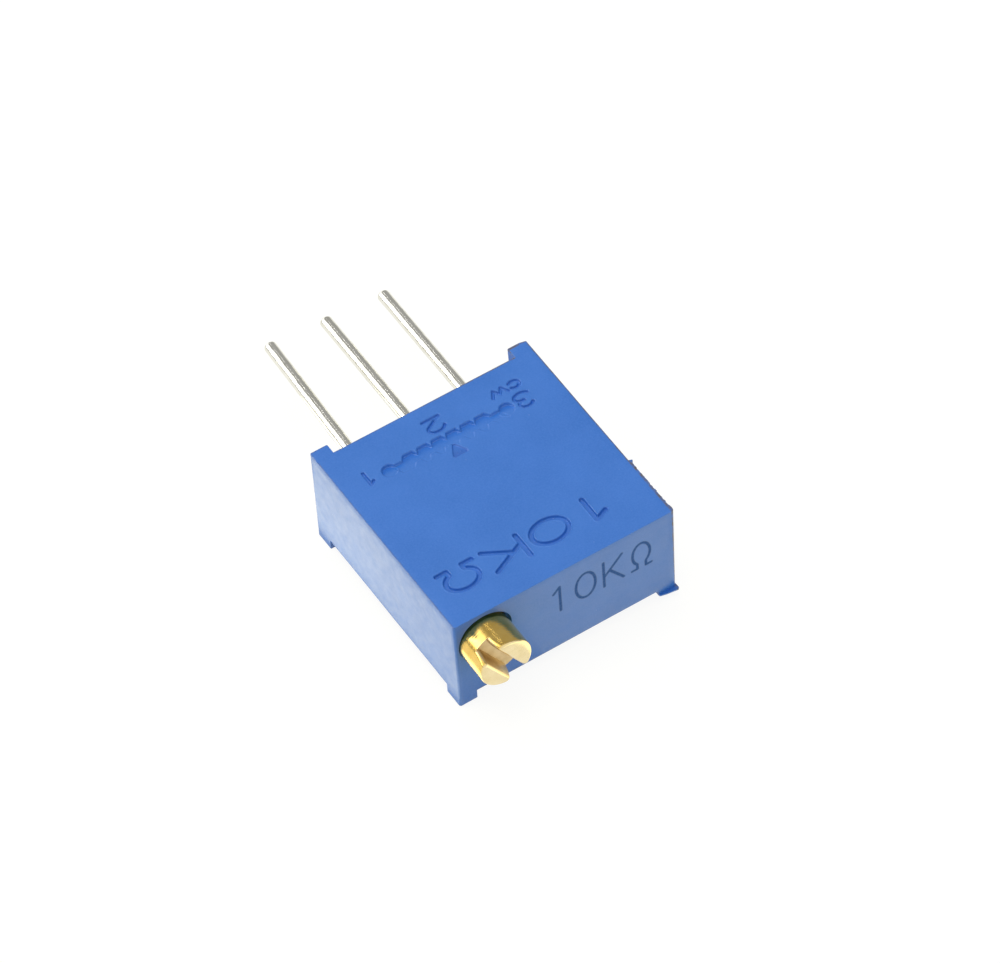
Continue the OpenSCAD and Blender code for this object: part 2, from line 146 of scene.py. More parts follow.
def direct_ray(tree):
    """1 for rays from the camera and for mirror or glass rays, 0 for scattered light."""
    ray = tree.nodes.new("ShaderNodeLightPath").outputs
    sharp = math_node(tree, "MAXIMUM", ray["Is Glossy Ray"], ray["Is Transmission Ray"])
    return math_node(tree, "MAXIMUM", ray["Is Camera Ray"], sharp)


class Finish:
    """A material being built: its nodes, its shader and the coordinates in millimetres."""

    def __init__(self, name, **values):
        self.material = bpy.data.materials.new(name)
        self.material.use_nodes = True
        self.tree = self.material.node_tree
        self.shader = self.tree.nodes["Principled BSDF"]
        for socket, value in values.items():
            self.shader.inputs[socket.replace("_", " ")].default_value = value
        place = self.node("ShaderNodeTexCoord").outputs["Object"]
        self.place = self.node("ShaderNodeMapping", Vector=place, Scale=(1 / MM,) * 3).outputs[0]

    def node(self, kind, **inputs):
        """Adds a node. An input is a value, or the output socket that feeds it."""
        made = self.tree.nodes.new(kind)
        for name, value in inputs.items():
            self.feed(made.inputs[name.replace("_", " ")], value)
        return made

    def feed(self, socket, value):
        feed(self.tree, socket, value)

    def set(self, socket, value):
        self.feed(self.shader.inputs[socket], value)

    def noise(self, per_mm, detail=3.0, roughness=0.55, stretch=(1, 1, 1)):
        """Noise from about 0 to 1, so many waves to the millimetre."""
        place = self.node("ShaderNodeMapping", Vector=self.place, Scale=stretch)
        made = self.node("ShaderNodeTexNoise", Vector=place.outputs[0], Scale=per_mm, Detail=detail)
        made.inputs["Roughness"].default_value = roughness
        return made.outputs[0]

    def span(self, value, from_low, from_high, to_low, to_high):
        """Stretches a range of values onto another, clipped at its ends."""
        made = self.node("ShaderNodeMapRange", Value=value)
        for k, limit in enumerate((from_low, from_high, to_low, to_high), 1):
            made.inputs[k].default_value = limit
        return made.outputs[0]

    def math(self, operation, *values):
        return math_node(self.tree, operation, *values)

    def product(self, a, b):
        return self.math("MULTIPLY", a, b)

    def drift(self, per_mm, low=0, high=1, detail=3.0):
        """A value that wanders from low to high over the surface; the noise is mostly 0.3 to 0.7."""
        return self.span(self.noise(per_mm, detail), 0.3, 0.7, low, high)

    def vertex_value(self, layer):
        """What a layer of the mesh holds at each vertex."""
        made = self.node("ShaderNodeAttribute")
        made.attribute_name = layer
        return made.outputs["Fac"]

    def along(self):
        """The three coordinates in millimetres, by name."""
        return self.node("ShaderNodeSeparateXYZ", Vector=self.place).outputs

    def show(self, output):
        """Makes an output socket the surface of the material."""
        self.feed(self.tree.nodes["Material Output"].inputs["Surface"], output)

    def mix(self, factor, a, b):
        """A colour between a and b."""
        made = self.tree.nodes.new("ShaderNodeMix")
        made.data_type = "RGBA"
        self.feed(made.inputs[0], factor)
        self.feed(made.inputs[6], a)
        self.feed(made.inputs[7], b)
        return made.outputs[2]

    def bump(self, *waves):
        """Raises the surface by (height map, depth in millimetres) pairs, coarse ones first."""
        normal = None
        for height, depth in waves:
            made = self.node("ShaderNodeBump", Height=height, Distance=depth * MM)
            if normal:
                self.feed(made.inputs["Normal"], normal)
            normal = made.outputs[0]
        self.set("Normal", normal)


def rgb(r, g, b):
    """A colour as shown, 0 to 255, in the shader's linear values."""
    return (*(((c / 255 + 0.055) / 1.055) ** 2.4 if c > 10 else c / 3295 for c in (r, g, b)), 1.0)


# %% [markdown]
# ## Camera
# The part lies on its back and is seen from above its front left corner, through a long lens from
# about a quarter of a metre. Everything is aimed at one point in the case, so the camera needs only
# two angles, a distance and a slight roll.

# %% Place the camera
camera_aim = Vector((1.358, -1.114, 2.151)) * MM
camera_azimuth = math.radians(-29.217)
camera_elevation = math.radians(51.192)
camera_roll = math.radians(-4.392)
camera_distance = 259.19 * MM
camera_data = bpy.data.cameras.new("camera")
camera_data.lens = 249.64
camera_data.clip_start = 0.01
camera_data.clip_end = 10
camera = bpy.data.objects.new("camera", camera_data)
bpy.context.scene.collection.objects.link(camera)
back = Vector((
    math.sin(camera_azimuth) * math.cos(camera_elevation),
    -math.cos(camera_azimuth) * math.cos(camera_elevation),
    math.sin(camera_elevation),
))
camera.location = camera_aim + back * camera_distance
camera.rotation_mode = "QUATERNION"
camera.rotation_quaternion = (-back).to_track_quat("-Z", "Y") @ Quaternion((0, 0, 1), camera_roll)
bpy.context.scene.camera = camera
bpy.context.scene.view_settings.view_transform = "Standard"
print("camera at", [round(v / MM, 1) for v in camera.location], "mm")

# %% [markdown]
# ## Floor and light
# The part lies on a white sweep in a light tent that is open and darker on its right. That is what
# gives the metal its shape: a bright band where it faces the tent, a brown one where it faces away.
# A white floor could be made by pouring light on it, but that would bleach the part too. Here the
# floor glows for the camera and for reflections, and keeps a share of plain paint, so that the part
# still darkens it where the two touch.

# %% Floor
def to_scene(name, bm, material):
    """Makes a stage object of a mesh in metres."""
    mesh = bpy.data.meshes.new(name)
    bm.to_mesh(mesh)
    bm.free()
    mesh.materials.append(material)
    obj = bpy.data.objects.new(name, mesh)
    bpy.context.scene.collection.objects.link(obj)
    return obj


floor_finish = Finish("white_sweep", Roughness=0.9)
paint = floor_finish.mix(floor_finish.noise(0.05), rgb(232, 230, 208), rgb(238, 236, 214))
floor_finish.set("Base Color", paint)
floor_finish.shader.inputs["Specular IOR Level"].default_value = 0.0
glow_level, glow_share = 1.08, 0.84
glow = floor_finish.node("ShaderNodeEmission", Color=(1, 1, 1, 1), Strength=glow_level)
blend = floor_finish.node("ShaderNodeMixShader",
                          Fac=floor_finish.product(direct_ray(floor_finish.tree), glow_share))
floor_finish.feed(blend.inputs[1], floor_finish.shader.outputs[0])
floor_finish.feed(blend.inputs[2], glow.outputs[0])
floor_finish.show(blend.outputs[0])
floor_bm = bmesh.new()
bmesh.ops.create_grid(floor_bm, x_segments=1, y_segments=1, size=3.0)
floor = to_scene("floor", floor_bm, floor_finish.material)
print("floor", [round(v, 1) for v in floor.dimensions[:2]], "m")

# %% The tent's light
world = bpy.data.worlds.new("tent")
world.use_nodes = True
bpy.context.scene.world = world
tent = world.node_tree
tent_level = 0.54
strength = math_node(tent, "MULTIPLY_ADD", direct_ray(tent), 1 - tent_level, tent_level)
feed(tent, tent.nodes["Background"].inputs["Strength"], strength)
tent.nodes["Background"].inputs["Color"].default_value = (1, 1, 1, 1)


def direction(azimuth, elevation):
    """A unit vector. Azimuth 0 is the screw's side, and 90 the right."""
    a, e = math.radians(azimuth), math.radians(elevation)
    return Vector((math.sin(a) * math.cos(e), -math.cos(a) * math.cos(e), math.sin(e)))


def softbox(name, azimuth, elevation, distance, width, height, radiance, colour=(1, 1, 1)):
    """A lamp that faces the part. Its radiance is 1 where it would look as bright as white."""
    data = bpy.data.lights.new(name, "AREA")
    data.shape = "RECTANGLE"
    data.color = colour
    data.size = width
    data.size_y = height
    data.energy = radiance * math.pi * width * height
    lamp = bpy.data.objects.new(name, data)
    bpy.context.scene.collection.objects.link(lamp)
    away = direction(azimuth, elevation)
    lamp.location = camera_aim + away * distance
    lamp.rotation_mode = "QUATERNION"
    lamp.rotation_quaternion = (-away).to_track_quat("-Z", "Y")
    lamp.visible_camera = False
    return lamp


WARM = (1.0, 0.97, 0.80)
top_box = softbox("top_box", -150, 78, 0.35, 0.26, 0.26, 2.6)
top_box.visible_glossy = False
softbox("left_box", -118, 26, 0.32, 0.17, 0.15, 2.5, WARM)
front_box = softbox("front_box", 15, 20, 0.35, 0.15, 0.12, 0.9, WARM)
front_box.visible_glossy = False
softbox("back_strip", 162, 55, 0.34, 0.005, 0.05, 8.0)

# %% [markdown]
# Six cards finish the tent. They light nothing, and only a surface with some polish shows them. A tall
# grey one closes the tent's right side. A low dark one is the edge of the table on the left, which
# draws a thin line along a round bar. Two bright ones stand behind the part on the left, for the
# highlight on the screw and for glints on walls that lean that way. Two warm ones lie just above the
# floor, where it gets most of the light, and turn the case's left side and its front pale.

# %% Standing cards
def lit_card(name, dark, bright, per_mm):
    """A finish that glows between two levels of grey."""
    made = Finish(name)
    lit = made.node("ShaderNodeEmission", Color=(1, 1, 1, 1), Strength=made.drift(per_mm, dark, bright))
    made.show(lit.outputs[0])
    return made


def show_in_reflections(card):
    card.visible_camera = card.visible_diffuse = card.visible_shadow = card.visible_transmission = False


def standing_card(name, azimuths, elevations, radius, finish):
    """A piece of a sphere round the part."""
    bm = bmesh.new()
    columns = np.linspace(*azimuths, 17)
    rows = [[bm.verts.new(camera_aim + direction(a, e) * radius) for a in columns]
            for e in np.linspace(*elevations, 9)]
    for low, high in zip(rows, rows[1:]):
        for k in range(len(columns) - 1):
            bm.faces.new((low[k], low[k + 1], high[k + 1], high[k]))
    show_in_reflections(to_scene(name, bm, finish.material))


standing_card("right_card", (62, 206), (-0.2, 80), 0.40, lit_card("grey_card", 0.38, 0.44, 0.02))
standing_card("table_edge", (-160, -60), (-0.3, 9), 0.45, lit_card("table_grey", 0.12, 0.17, 0.02))
standing_card("back_glint", (-153, -116), (9, 58), 0.38, lit_card("glint_white", 2.0, 2.3, 0.02))
standing_card("wall_glint", (-186, -155), (8, 33), 0.37, lit_card("strip_white", 1.7, 2.1, 0.02))

# %% Cards on the floor
card_z = 0.02


def floor_card(name, low, high, fade, levels):
    """A warm glowing sheet just above the floor, between two corners. Its level changes along Y."""
    made = Finish(name)
    level = made.span(made.along()["Y"], *fade, *levels)
    lit = made.node("ShaderNodeEmission", Color=(1.0, 0.98, 0.80, 1), Strength=level)
    made.show(lit.outputs[0])
    bm = bmesh.new()
    corners = ((low[0], low[1]), (high[0], low[1]), (high[0], high[1]), (low[0], high[1]))
    bm.faces.new([bm.verts.new((x * MM, y * MM, card_z * MM)) for x, y in corners])
    show_in_reflections(to_scene(name, bm, made.material))


floor_card("left_floor_card", (-7.6, -9), (-4.95, 9), (-6.0, 1.0), (2.4, 3.1))
floor_card("front_floor_card", (-0.9, -30), (20, -7.9), (-11.0, -8.0), (1.6, 1.6))

# %% [markdown]
# ## Strokes for the moulded marks
# The mould leaves shallow marks in the case: the numbers of the three leads, a drawing of a resistor
# with a wiper arrow, and the letters for clockwise. They could be cut with text objects and booleans,
# but those give knife-sharp walls. Here a mark is only a set of strokes, each a line with a width, and
# how deep the surface dips is worked out from each point's distance to the edge of the nearest stroke.
# That gives the slightly soft walls of a mould that has been used a lot.

# %% Glyphs as lines
def arc(cx, cy, rx, ry, start, end, steps=14):
    """Points on an ellipse, from one angle to another, in degrees."""
    angles = np.radians(np.linspace(start, end, steps + 1))
    return np.stack([cx + rx * np.cos(angles), cy + ry * np.sin(angles)], 1)


# every glyph stands in a square from (0, 0) to (1, 1)
GLYPHS = {
    "0": [arc(0.5, 0.5, 0.5, 0.5, 0, 360, 28)],
    "1": [np.array([(0.3, 0.8), (0.62, 1.0), (0.62, 0.0)])],
    "2": [np.concatenate([arc(0.5, 0.7, 0.48, 0.3, 170, -35), [(0.0, 0.0), (1.0, 0.0)]])],
    "3": [arc(0.47, 0.75, 0.42, 0.25, 155, -90), arc(0.47, 0.26, 0.5, 0.26, 90, -155)],
    "C": [arc(0.5, 0.5, 0.5, 0.5, 42, 318, 22)],
    "W": [np.array([(0.0, 1.0), (0.25, 0.0), (0.5, 0.85), (0.75, 0.0), (1.0, 1.0)])],
    "K": [np.array([(0.0, 0.0), (0.0, 1.0)]), np.array([(0.95, 1.0), (0.0, 0.38), (0.3, 0.58), (1.0, 0.0)])],
    "ohm": [np.concatenate([[(1.0, 0.0), (0.72, 0.0), (0.72, 0.16)], arc(0.5, 0.57, 0.45, 0.43, -58, 238, 22),
                            [(0.28, 0.16), (0.28, 0.0), (0.0, 0.0)]])],
}


def write(glyphs, corner, width, height, advance, across, up):
    """Lines of a text whose first glyph has its lower left corner at corner, in a plane's own axes."""
    lines = []
    for k, glyph in enumerate(glyphs):
        for stroke in GLYPHS[glyph]:
            flat = stroke * (width, height) + (k * advance, 0)
            lines.append(np.array(corner) + flat[:, :1] * across + flat[:, 1:] * up)
    return lines


# %% [markdown]
# The marks are read with the leads pointing down, so on the top face a text runs towards -X and its
# top points to -Y. The resistor is the old sign for one: a broad zigzag of six teeth between two
# round terminals, and an arrow from below for the wiper.

# %% The marks on the top face
READ_ACROSS = np.array([-1.0, 0.0])
READ_UP = np.array([0.0, -1.0])
tooth_count = 6
tooth_pitch = 0.633
tooth_flat = 0.31
tooth_height = 0.25
stroke_half = 0.06
band_y = lead_face_y - 1.78
middle_x = -0.20
terminal_r = 0.28

# the zigzag starts and ends with a straight stretch to its terminal
straight, straight_low, straight_end_low = 0.4, 0.1, 0.08
valley_half = 0.04
first_x, last_x = (middle_x + side * tooth_pitch * tooth_count / 2 for side in (-1, 1))
zigzag = [(first_x - straight, band_y - straight_end_low), (first_x, band_y - straight_low)]
for k in range(tooth_count):
    tooth_x = middle_x + (k - (tooth_count - 1) / 2) * tooth_pitch
    valley_x = tooth_x + tooth_pitch / 2
    zigzag += [(x, band_y + tooth_height / 2) for x in (tooth_x - tooth_flat / 2, tooth_x + tooth_flat / 2)]
    zigzag += [(x, band_y - tooth_height / 2) for x in (valley_x - valley_half, valley_x + valley_half)]
zigzag[-2:] = [(last_x, band_y - straight_low), (last_x + straight, band_y - straight_end_low)]
# the same line again and again, each a little lower, makes a band with sharp teeth on both sides
band = [np.array(zigzag) + (0.17 * k, -0.38 * k) for k in np.linspace(0, 1, 5)]
terminals = [np.array([(x, band_y - 0.14)] * 2) for x in (-2.75, 2.40)]
arrow_tip = np.array([middle_x + 0.06, band_y - 0.50])
arrow_low = -0.42
arrow_ends = [[(0, 0), (-0.225, arrow_low)], [(0, 0), (0.225, arrow_low)],
              [(-0.20, arrow_low), (0.20, arrow_low)], [(0, 0), (0, arrow_low)]]
arrow = [arrow_tip + np.array(ends) for ends in arrow_ends]

small_text = write("1", (-3.32, lead_face_y - 1.475), 0.52, 0.62, 0, READ_ACROSS, READ_UP)
small_text += write("2", (0.13, lead_face_y - 0.70), 0.70, 0.67, 0, READ_ACROSS, READ_UP)
small_text += write("3", (3.48, lead_face_y - 1.54), 0.65, 0.70, 0, READ_ACROSS, READ_UP)
small_text += write("C", (3.48, lead_face_y - 0.90), 0.45, 0.33, 0, READ_ACROSS, READ_UP)
small_text += write("W", (2.93, lead_face_y - 0.92), 0.68, 0.30, 0, READ_ACROSS, READ_UP)
VALUE = ("1", "0", "K", "ohm")
value_text = write(VALUE, (3.25, front_y + 2.36), 1.5, 1.08, 1.92, READ_ACROSS, READ_UP)
ink_text = write(VALUE, (-0.75, 2.55), 0.85, 1.38, 1.22, np.array([1.0, 0.0]), np.array([0.0, 1.0]))
# what is drawn, half the width of its strokes, how deep it is, and the share left at its far wall
MARKS = [(band, stroke_half, 0.16, 0.08), (terminals, terminal_r, 0.16, 0.12),
         (arrow, stroke_half, 0.09, 0.7), (small_text, 0.035, 0.11, 1.0), (value_text, 0.065, 0.13, 1.0)]
print("marks:", sum(len(lines) for lines, *_ in MARKS), "lines")

# %% [markdown]
# ## Filling a flat face with fine triangles
# Detail needs vertices, but only where something happens. The old flat faces in a plane are taken
# out, and their outline is filled again by a Delaunay triangulation: points every 0.03 mm along the
# marks, and every few tenths elsewhere. A fine grid over the whole face would need six times as many.

# %% Distances and outlines in a plane
def distance_to(points, starts, ends):
    """Distance from each point to the nearest of the segments."""
    along = ends - starts
    length2 = np.maximum((along**2).sum(1), 1e-12)
    nearest = np.full(len(points), np.inf)
    for start, step, l2 in zip(starts, along, length2):
        t = np.clip(((points - start) @ step) / l2, 0, 1)
        nearest = np.minimum(nearest, np.hypot(*(points - start - t[:, None] * step).T))
    return nearest


def is_inside(points, starts, ends):
    """Whether each point lies inside the outline that the segments make, holes left out."""
    crossings = np.zeros(len(points), int)
    for (x0, y0), (x1, y1) in zip(starts, ends):
        if y0 != y1:
            spans = (y0 > points[:, 1]) != (y1 > points[:, 1])
            crossings += spans & (points[:, 0] < x0 + (points[:, 1] - y0) * (x1 - x0) / (y1 - y0))
    return crossings % 2 == 1


def lattice(low, high, step):
    """Points of a triangular lattice that covers a rectangle."""
    rows = np.arange(low[1] + step / 2, high[1], step * math.sqrt(3) / 2)
    columns = np.arange(low[0] + step / 2, high[0], step)
    grid = [(x + (k % 2) * step / 2, y) for k, y in enumerate(rows) for x in columns]
    return np.array(grid).reshape(-1, 2)


def segments(lines):
    """The start and end points of every piece of the lines."""
    return (np.concatenate([line[:-1] for line in lines]), np.concatenate([line[1:] for line in lines]))


# %% Refilling a face
def fill_points(starts, ends, coarse, marks, fine):
    """Points inside an outline: a fine lattice along the walls of the marks, coarser ones elsewhere."""
    low, high = starts.min(0), starts.max(0)
    near, far = 0.09, 0.3
    mid_wall = 0.03
    # for each lattice: its step, and from where to where its points lie beside a wall
    levels = [(coarse, far, math.inf)]
    if marks:
        levels = [(fine, 0.0, near), (fine * 3, near, far), *levels]
    points = []
    for step, nearer, reach in levels:
        some = lattice(low, high, step)
        some = some[is_inside(some, starts, ends)]
        some = some[distance_to(some, starts, ends) > step * 0.4]
        if marks:
            gap = np.min([abs(distance_to(some, *segments(lines)) - half - mid_wall)
                          for lines, half, *_ in marks], axis=0)
            some = some[(gap < reach) & (gap >= nearer)]
        points.append(some)
    return np.concatenate(points)


def clear_slivers(bm, faces, thinnest=0.001):
    """Removes triangles of three points in a row, which have no normal of their own: at an outline
    they are dropped, and elsewhere they are merged with the neighbour on their longest edge."""
    longest = {face: max(face.edges, key=lambda edge: edge.calc_length()) for face in faces}
    slivers = [face for face in faces if face.calc_area() < thinnest * longest[face].calc_length()]
    dropped = True
    while dropped:
        dropped = [face for face in slivers if len(longest[face].link_faces) == 1]
        slivers = [face for face in slivers if face not in dropped]
        lone_edges = [longest[face] for face in dropped]
        bmesh.ops.delete(bm, geom=dropped, context="FACES_KEEP_BOUNDARY")
        for edge in lone_edges:
            if edge.is_valid and not edge.link_faces:
                bm.edges.remove(edge)
    shared = dict.fromkeys(longest[face] for face in slivers)
    bmesh.ops.dissolve_edges(bm, edges=list(shared), use_verts=False)


def refill(bm, axis, value, coarse, marks=(), fine=0.026):
    """Fills the flat faces at one value of an axis again with triangles, fine ones along the edges of
    the marks. Returns the vertices inside the outline."""
    u, v = (k for k in range(3) if k != axis)
    flat = [f for f in bm.faces
            if abs(f.normal[axis]) > 0.999 and abs(f.calc_center_median()[axis] - value) < 0.002]
    chosen = set(flat)
    outward = flat[0].normal[axis] > 0
    rim = [e for e in bm.edges if sum(f in chosen for f in e.link_faces) == 1]
    # a dict keeps its order, so the same triangles come out at every run
    corners = list(dict.fromkeys(vert for e in rim for vert in e.verts))
    number = {vert: k for k, vert in enumerate(corners)}
    starts = np.array([(e.verts[0].co[u], e.verts[0].co[v]) for e in rim])
    ends = np.array([(e.verts[1].co[u], e.verts[1].co[v]) for e in rim])
    fill = fill_points(starts, ends, coarse, marks, fine)
    bmesh.ops.delete(bm, geom=flat, context="FACES_KEEP_BOUNDARY")
    outline = [Vector((c.co[u], c.co[v])) for c in corners]
    found = delaunay_2d_cdt(outline + [Vector(p) for p in fill],
                            [(number[e.verts[0]], number[e.verts[1]]) for e in rim], [], 0, 1e-5)
    flat_points, triangles, origins = found[0], found[2], found[3]
    verts = []
    for point, origin in zip(flat_points, origins):
        known = [k for k in origin if k < len(corners)]
        if known:
            verts.append(corners[known[0]])
        else:
            place = [0.0, 0.0, 0.0]
            place[axis], place[u], place[v] = value, point.x, point.y
            verts.append(bm.verts.new(place))
    centres = np.array([sum((flat_points[k] for k in t), Vector((0, 0))) / 3 for t in triangles])
    # in the plane of X and Z the normal of an anticlockwise triangle is -Y
    flip = outward == (axis == 1)
    made = [bm.faces.new([verts[k] for k in (reversed(triangle) if flip else triangle)])
            for triangle, keep in zip(triangles, is_inside(centres, starts, ends)) if keep]
    clear_slivers(bm, made)
    inner = [vert for vert in dict.fromkeys(verts) if vert not in number and vert.link_faces]
    for vert in verts:
        if vert.is_valid and not vert.link_faces and not vert.link_edges:
            bm.verts.remove(vert)
    return inner


def dip_of(points, marks, wall=0.045, lip_share=0.10):
    """How far the surface dips at each point: flat along a stroke, then a wall, and a slight lip.
    The floor of a broad mark rises towards its far side."""
    total = np.zeros(len(points))
    for lines, half, depth, far_share in marks:
        gap = distance_to(points, *segments(lines)) - half
        drawn_y = np.concatenate(lines)[:, 1]
        near = smooth_step(drawn_y.min() - half, drawn_y.max() + half, points[:, 1])
        dip = depth * (1 - smooth_step(0, wall, gap)) * (far_share + (1 - far_share) * near)
        lip = lip_share * depth * np.exp(-(((gap - wall * 1.3) / (wall * 0.5)) ** 2))
        total = np.maximum(total, dip) - lip
    return total


# %% [markdown]
# ## The moulded case
# The case is one shot of blue plastic with feet, standoff ridges and notches for the leads. The CAD
# copy keeps all of it, inside and out. Three things make it look moulded: every outer edge gets a
# small bevel that catches the light, the marks dip softly into the top, and a slow wave moves the
# whole skin by a few thousandths of a millimetre, as a case shrinks while it cools. The faults of this
# one come on top: feet that came out short, and flash where the mould's halves met.

# %% Bevelled copy of the case
edge_round = 0.045
case_bm = flat_faces_of("housing")
# the hole for the screw's head is deeper than the head needs, wide on its upper side and tight below
screw_axis = next(j for j in frame["joints"] if j["name"] == "screw_turn")["pos_m"]
axis_x, axis_z = screw_axis[0] / MM, screw_axis[2] / MM
head_r = 1.095
well_r, tight_r, well_depth = 1.21, 1.115, 0.2
# how deep the exact hole is at most, and how far its inner and outer rings lie outside the head
hole_depth, hole_rings = 0.13, (0.05, 0.1)
for vert in case_bm.verts:
    out_x, out_z = vert.co.x - axis_x, vert.co.z - axis_z
    reach = math.hypot(out_x, out_z)
    if vert.co.y < front_y + hole_depth and head_r < reach < head_r + hole_rings[1]:
        if vert.co.y > front_y + hole_depth / 2:
            vert.co.y = front_y + well_depth
        if reach > head_r + hole_rings[0]:
            upper = smooth_step(-0.1, 0.75, (out_z + 0.35 * out_x) / reach)
            wider = (tight_r + (well_r - tight_r) * upper) / reach
            vert.co.x, vert.co.z = axis_x + out_x * wider, axis_z + out_z * wider

# how much ink and depth of mark each vertex has
ink, sunk = (case_bm.verts.layers.float.new(name) for name in ("ink", "sunk"))
SKIN = [(2, top_z), (2, 0.0), (2, underside_z), (0, half_width), (0, -half_width),
        (1, front_y), (1, lead_face_y), (1, seat_y)]


def on_skin(face):
    centre = face.calc_center_median()
    return any(abs(face.normal[axis]) > 0.99 and abs(centre[axis] - value) < 0.004 for axis, value in SKIN)


def outer_edges(bm, at_least=50):
    """Convex edges that show on the outside."""
    return [e for e in bm.edges
            if e.is_manifold and e.is_convex and e.calc_face_angle() > math.radians(at_least)
            and any(on_skin(f) for f in e.link_faces)]


wave_step, flash_step = 0.3, 0.05
for edge in outer_edges(case_bm):
    # the edge that carries the flash is cut finer, so that the flash can end in a step
    flash_edge = all(v.co.x > half_width - 0.01 and v.co.z > top_z - 0.01 for v in edge.verts)
    cuts = int(edge.calc_length() / (flash_step if flash_edge else wave_step))
    if cuts:
        bmesh.ops.subdivide_edges(case_bm, edges=[edge], cuts=cuts)
bmesh.ops.bevel(case_bm, geom=outer_edges(case_bm), offset=edge_round, segments=3, profile=0.5,
                affect="EDGES", clamp_overlap=True)
print("case after bevels:", len(case_bm.faces), "faces")

# %% Marks, ink and the other flat faces
ink_half, ink_edge = 0.035, (0.045, 0.085)
top_inner = refill(case_bm, 2, top_z, 0.3, MARKS)
top_points = np.array([(v.co.x, v.co.y) for v in top_inner])
# the depth of the arrow and the texts is kept in a layer, for the painted shade on their walls
for vert, dip, stroke_dip in zip(top_inner, dip_of(top_points, MARKS), dip_of(top_points, MARKS[2:])):
    vert.co.z -= dip
    vert[sunk] = stroke_dip
front_inner = refill(case_bm, 1, front_y, 0.3, [(ink_text, ink_half)])
front_points = np.array([(v.co.x, v.co.z) for v in front_inner])
for vert, gap in zip(front_inner, distance_to(front_points, *segments(ink_text))):
    vert[ink] = 1 - smooth_step(*ink_edge, gap)
for axis, value in SKIN[1:]:
    if (axis, value) != (1, front_y):
        refill(case_bm, axis, value, 0.35)
print("points inside the outlines: top", len(top_inner), "front", len(front_inner))

# %% Shrink wave, flash and the short foot
def bump_at(x, low, high, soft):
    """1 between low and high, with soft shoulders."""
    return smooth_step(low - soft, low + soft, x) * (1 - smooth_step(high - soft, high + soft, x))


slow_wave = 0.005
flash_end_y = front_y + 2.92
flash_out, flash_rough, nib_out, corner_out = 0.055, 0.03, 0.09, 0.035
tip_back, tip_in = 0.055, 0.06
left_lift, right_lift, sill_lift = 0.08, 0.30, 0.07
for vert in case_bm.verts:
    place = vert.co.copy()
    x, y, z = place
    # the mould's halves met along the right top edge: a seam of flash, a nib where it ends and some
    # more of it at the corner
    on_right = smooth_step(half_width - 0.24, half_width - 0.10, x)
    seam = (0.2 + 0.8 * smooth_step(0.8, 4.4, z)) * bump_at(y, front_y - 1, flash_end_y, 0.02)
    seam *= flash_out + flash_rough * noise.noise(place * 11.0)
    nib = smooth_step(4.5, 4.7, z) * bump_at(y, flash_end_y - 0.10, flash_end_y - 0.02, 0.02)
    corner = smooth_step(3.8, 4.7, z) * bump_at(y, front_y - 1, front_y + 0.30, 0.03)
    vert.co.x += on_right * (seam + nib_out * nib + corner_out * corner)
    # the standoff on the right was pushed out a little at its tip
    tip = smooth_step(4.3, 4.7, z) * smooth_step(seat_y - 0.15, seat_y - 0.03, y)
    tip *= smooth_step(3.6, 4.0, x)
    vert.co.y += tip_back * tip * bump_at(x, 3.9, 4.6, 0.15)
    vert.co.x -= tip_in * tip * (1 - smooth_step(4.0, 4.15, x))
    # the feet at the screw's side came out short, the right one most, and lifted the sill a little
    at_front = 1 - smooth_step(front_y + 1.1, front_y + 3.0, y)
    across = (x + half_width) / (2 * half_width)
    low = 1 - smooth_step(0.0, foot_height, z)
    lift = (left_lift + (right_lift - left_lift) * across) * low
    lift += sill_lift * across * (1 - low) * (1 - smooth_step(0.6, 1.6, z))
    vert.co.z += at_front * lift
    vert.co += noise.noise_vector(place * 0.8) * slow_wave
print("flash from the front to y =", round(flash_end_y, 2))

# %% A fin of flash under the short foot
fin_low, fin_high, fin_slope = 0.30, 0.36, 0.03
# its outline from the case's lower right corner, by X and Y
fin_outline = [(-0.74, 0.5), (-0.76, -0.07), (-0.5, -0.13), (-0.22, -0.16),
               (0.0, -0.19), (0.06, -0.12), (0.05, 0.15), (-0.03, 0.5)]
fin_rings = [[case_bm.verts.new((half_width + x, front_y + y, z - fin_slope * x)) for x, y in fin_outline]
             for z in (fin_low, fin_high)]
case_bm.faces.new(reversed(fin_rings[0]))
case_bm.faces.new(fin_rings[1])
for k, vert in enumerate(fin_rings[0]):
    after = (k + 1) % len(fin_outline)
    case_bm.faces.new((vert, fin_rings[0][after], fin_rings[1][after], fin_rings[1][k]))
print("case with its fin:", len(case_bm.faces), "faces")

# %% [markdown]
# The blue is a filled thermoset: nearly matt, with a dull sheen when seen at a low angle. Its colour
# drifts a little, and a few specks of dust and resin sit on it. The walls of the marks get painted shade,
# a deeper blue; handling has rubbed some edges to a greyish brown, and the value on the front is inked.
# Painted images could hold all that, but noise and distances need no unwrapping and no resolution.

# %% Blue moulded plastic
blue = Finish("blue_moulding", IOR=1.6)
body_blue = blue.mix(blue.drift(0.5, detail=4.0), rgb(38, 107, 195), rgb(48, 114, 203))
grain = blue.span(blue.noise(14.0, 4.0, 0.65), 0.35, 0.75, 0, 0.30)
body_blue = blue.mix(grain, body_blue, rgb(84, 136, 218))
# painted shade: where the arrow and the texts dip, their walls are darkened to a deeper blue
sunk_depth = blue.vertex_value("sunk")
painted_wall_shade = blue.product(blue.span(sunk_depth, 0.01, 0.05, 0, 1), blue.span(sunk_depth, 0.06, 0.09, 1, 0))
body_blue = blue.mix(blue.product(painted_wall_shade, 0.55), body_blue, rgb(24, 80, 172))
speck_cells = blue.node("ShaderNodeTexVoronoi", Vector=blue.place, Scale=2.2)
speck_size = blue.span(speck_cells.outputs["Color"], 0.0, 1.0, -0.03, 0.045)
specks = blue.math("LESS_THAN", speck_cells.outputs["Distance"], speck_size)
body_blue = blue.mix(blue.product(specks, 0.42), body_blue, rgb(190, 205, 235))
